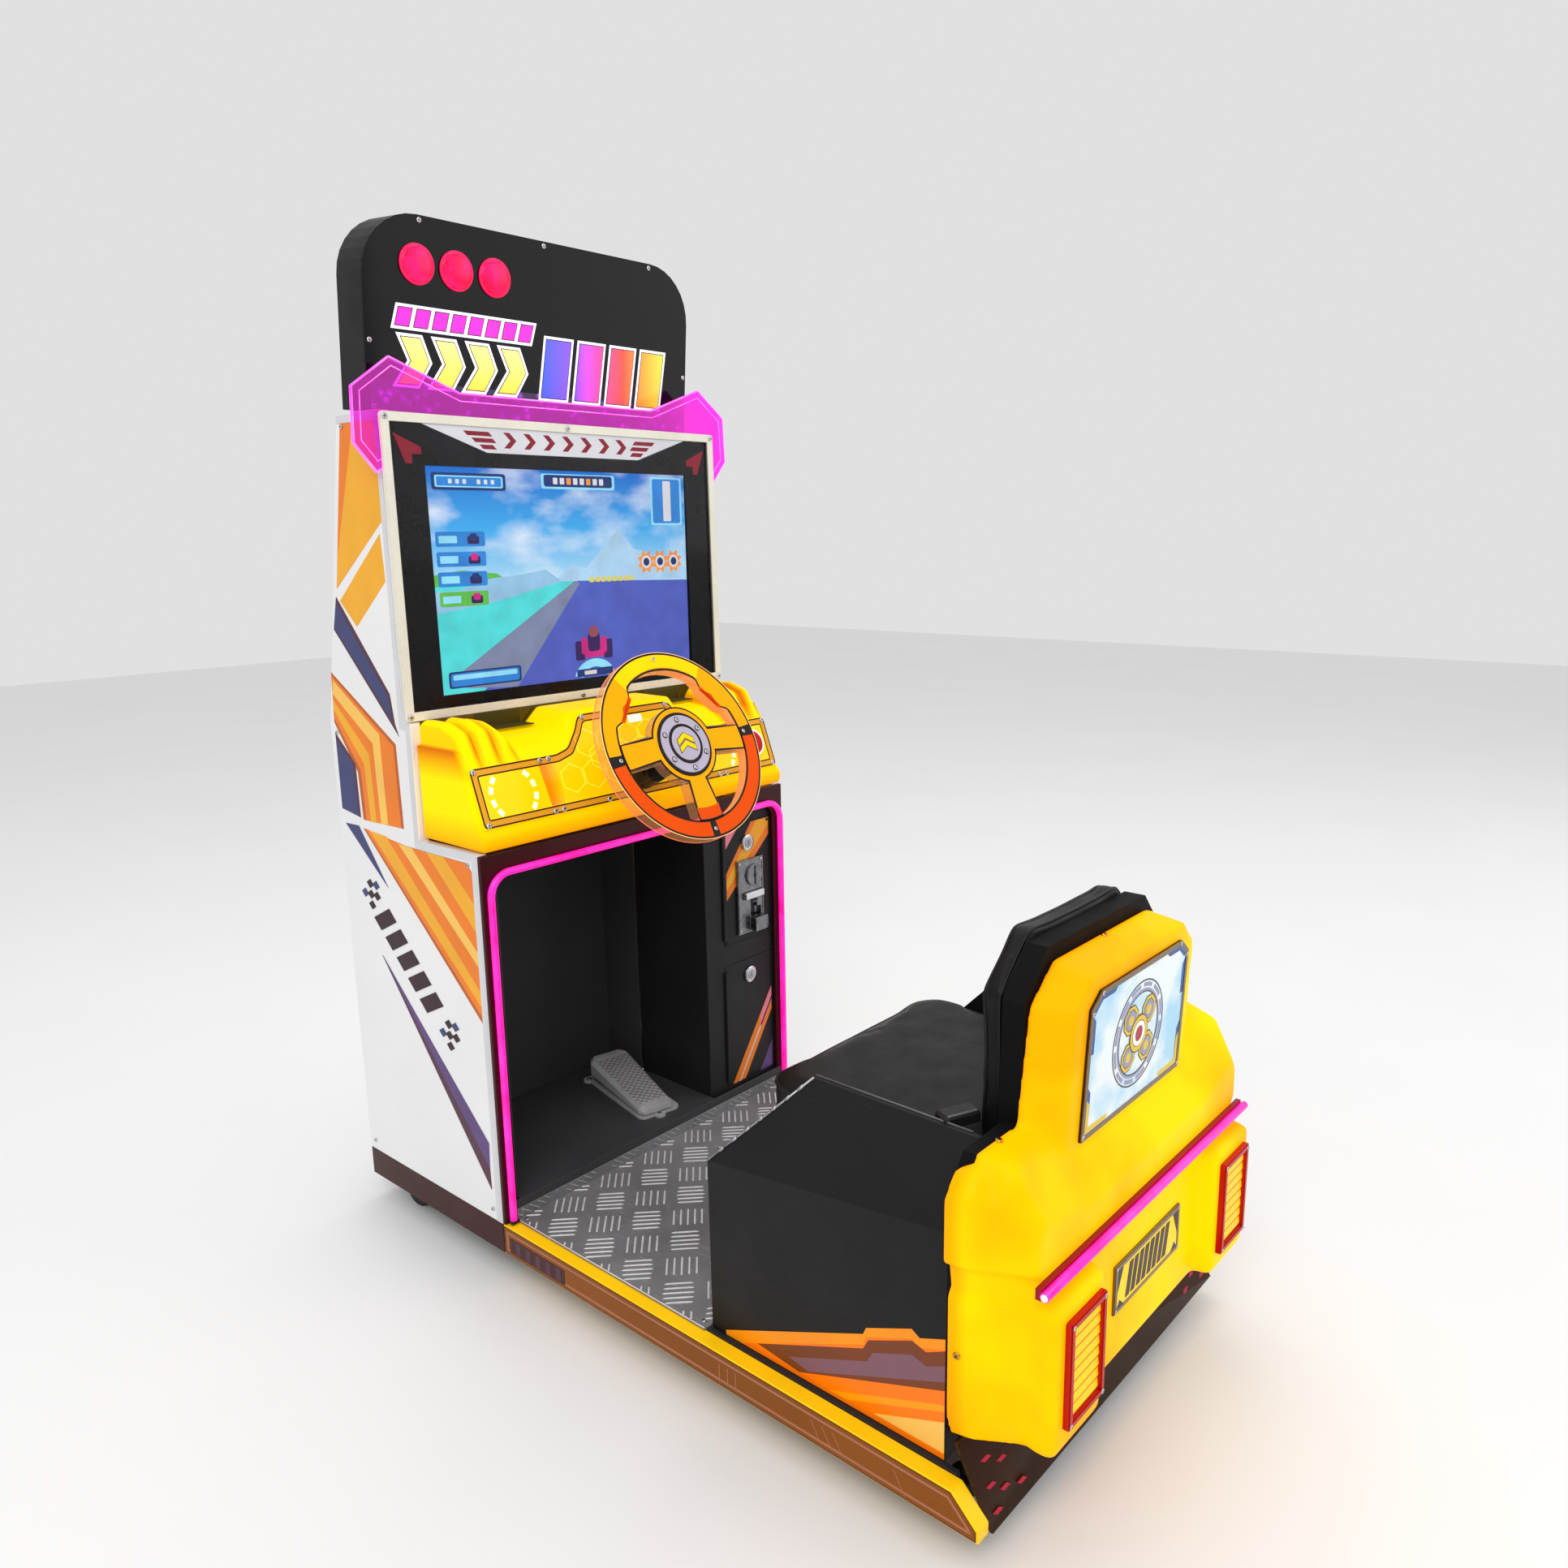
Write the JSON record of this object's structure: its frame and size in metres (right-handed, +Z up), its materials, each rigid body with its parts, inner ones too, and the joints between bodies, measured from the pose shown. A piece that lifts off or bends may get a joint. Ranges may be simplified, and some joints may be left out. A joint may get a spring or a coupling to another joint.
{
  "type": "sitdown racing cabinet",
  "caption": "Small sit-down driving cabinet: screen tower with steering console, pedal footwell and coin column, joined by a tread-plate platform to a padded seat.",
  "frame": {"origin": "on the floor, at the middle of the bounding box", "axes": "+Z up; the driver sits facing +Y, with +X on the driver's right"},
  "size_m": [0.66, 1.1732, 1.4181],
  "materials": {
    "white_board": "white faced board under a printed film, satin",
    "white_metal": "white powder coat, satin",
    "maroon_paint": "maroon powder coat, semi-gloss",
    "gold_panel": "brown-gold glossy paint with red dashes",
    "black_sheet": "black textured powder coat",
    "black_plastic": "black moulded plastic, fine texture",
    "red_plastic": "red translucent plastic, gloss",
    "black_leather": "black upholstery vinyl, soft sheen",
    "yellow_shell": "yellow translucent moulding, lit from inside, gloss",
    "yellow_rail": "yellow edged printed rail cover, gloss",
    "printed_overlay": "printed instrument film, hexagons on amber, satin gloss",
    "clear_wheel": "clear acrylic plate over a printed yellow and orange face",
    "white_plastic": "white moulded plastic, gloss",
    "pink_acrylic": "edge-lit pink acrylic",
    "neon_pink": "frosted tube, lit magenta",
    "marquee_print": "back-lit printed acrylic",
    "tinted_glass": "tinted screen glass with a printed border",
    "printed_panel": "back-lit printed panel",
    "number_print": "printed yellow and black plate",
    "checker_aluminium": "five-bar tread plate, worn",
    "chrome": "polished and lightly scratched",
    "bare_steel": "zinc-plated steel",
    "grey_casting": "grey cast alloy, rough",
    "black_rubber": "black rubber"
  },
  "bodies": {
    "cabinet": {"back_panel": "white_board", "backrest_board": "black_leather", "backrest_cushion": "black_leather", "base_frame": "black_sheet", "base_skirt": "maroon_paint", "bezel_frame": "white_metal", "bezel_glass": "tinted_glass", "cash_box": "bare_steel", "caster_bracket_left": "bare_steel", "caster_bracket_right": "bare_steel", "checker_plate": "checker_aluminium", "coin_column": "black_sheet", "console_overlay": "printed_overlay", "console_shell": "yellow_shell", "foot_left": "black_rubber", "foot_right": "black_rubber", "footwell_liner": "black_sheet", "footwell_shelf": "black_sheet", "front_frame": "maroon_paint", "game_computer": "bare_steel", "lcd_monitor": "black_plastic", "marquee_box": "black_sheet", "marquee_face": "marquee_print", "marquee_wing": "pink_acrylic", "neon_arch": "neon_pink", "number_plate": "number_print", "pedal_base": "grey_casting", "picture_panel": "printed_panel", "power_inlet": "black_plastic", "rear_base_panel": "gold_panel", "rear_light_bar": "neon_pink", "rear_shell": "yellow_shell", "seat_base": "black_sheet", "seat_cushion": "black_leather", "side_panel_left": "white_board", "side_panel_right": "white_board", "side_rail_left": "yellow_rail", "side_rail_right": "yellow_rail", "speaker": "black_plastic", "start_button_ring": "red_plastic", "start_lamp_left": "red_plastic", "start_lamp_middle": "red_plastic", "start_lamp_right": "red_plastic", "steering_housing": "black_sheet", "tail_lamp_left": "red_plastic", "tail_lamp_right": "red_plastic"},
    "steering": {"steering_wheel": "clear_wheel", "wheel_hub": "white_plastic", "steering_shaft": "bare_steel"},
    "pedal": {"pedal_treadle": "grey_casting"},
    "start_button": {"start_button": "red_plastic"},
    "coin_door": {"coin_door": "black_sheet", "coin_selector": "chrome"},
    "coin_lock": {"coin_door_lock": "chrome"},
    "coin_reject": {"coin_reject_button": "black_plastic"},
    "cash_door": {"cash_door": "black_sheet"},
    "cash_lock": {"cash_door_lock": "chrome"},
    "service_door": {"service_door": "black_sheet"},
    "caster_left": {"caster_wheel_left": "black_rubber"},
    "caster_right": {"caster_wheel_right": "black_rubber"}
  },
  "joints": [
    {"name": "steering_turn", "type": "hinge", "parent": "cabinet", "child": "steering", "pos_m": [0, 0.149, 0.719], "axis": [0, -0.891, 0.454], "range_deg": [-135, 135], "stiffness_Nm_per_rad": 0.3},
    {"name": "pedal_press", "type": "hinge", "parent": "cabinet", "child": "pedal", "pos_m": [0.02728, 0.29224, 0.1252], "axis": [-0.9781, 0.2079, 0], "range_deg": [0, 6], "stiffness_Nm_per_rad": 12, "springref_deg": -6.88},
    {"name": "start_press", "type": "slide", "parent": "cabinet", "child": "start_button", "axis": [0, 0.937, -0.3493], "range_m": [0, 0.004], "stiffness_N_per_m": 300, "springref_m": -0.002},
    {"name": "coin_door_swing", "type": "hinge", "parent": "cabinet", "child": "coin_door", "pos_m": [0.1546, 0.2343, 0.456], "axis": [0, 0, -1], "range_deg": [0, 105]},
    {"name": "coin_lock_turn", "type": "hinge", "parent": "coin_door", "child": "coin_lock", "pos_m": [0.212, 0.2367, 0.52], "axis": [0, -1, 0], "range_deg": [-90, 0]},
    {"name": "coin_reject_press", "type": "slide", "parent": "coin_door", "child": "coin_reject", "axis": [0, 1, 0], "range_m": [0, 0.003], "stiffness_N_per_m": 250, "springref_m": -0.002},
    {"name": "cash_door_swing", "type": "hinge", "parent": "cabinet", "child": "cash_door", "pos_m": [0.1546, 0.2343, 0.2185], "axis": [0, 0, -1], "range_deg": [0, 105]},
    {"name": "cash_lock_turn", "type": "hinge", "parent": "cash_door", "child": "cash_lock", "pos_m": [0.212, 0.2367, 0.297], "axis": [0, -1, 0], "range_deg": [-90, 0]},
    {"name": "service_door_swing", "type": "hinge", "parent": "cabinet", "child": "service_door", "pos_m": [-0.2, 0.5775, 0.425], "axis": [0, 0, 1], "range_deg": [0, 100]},
    {"name": "caster_left_roll", "type": "hinge", "parent": "cabinet", "child": "caster_left", "pos_m": [-0.255, 0.499, 0.03], "axis": [1, 0, 0], "continuous": true},
    {"name": "caster_right_roll", "type": "hinge", "parent": "cabinet", "child": "caster_right", "pos_m": [0.255, 0.499, 0.03], "axis": [1, 0, 0], "continuous": true}
  ]
}
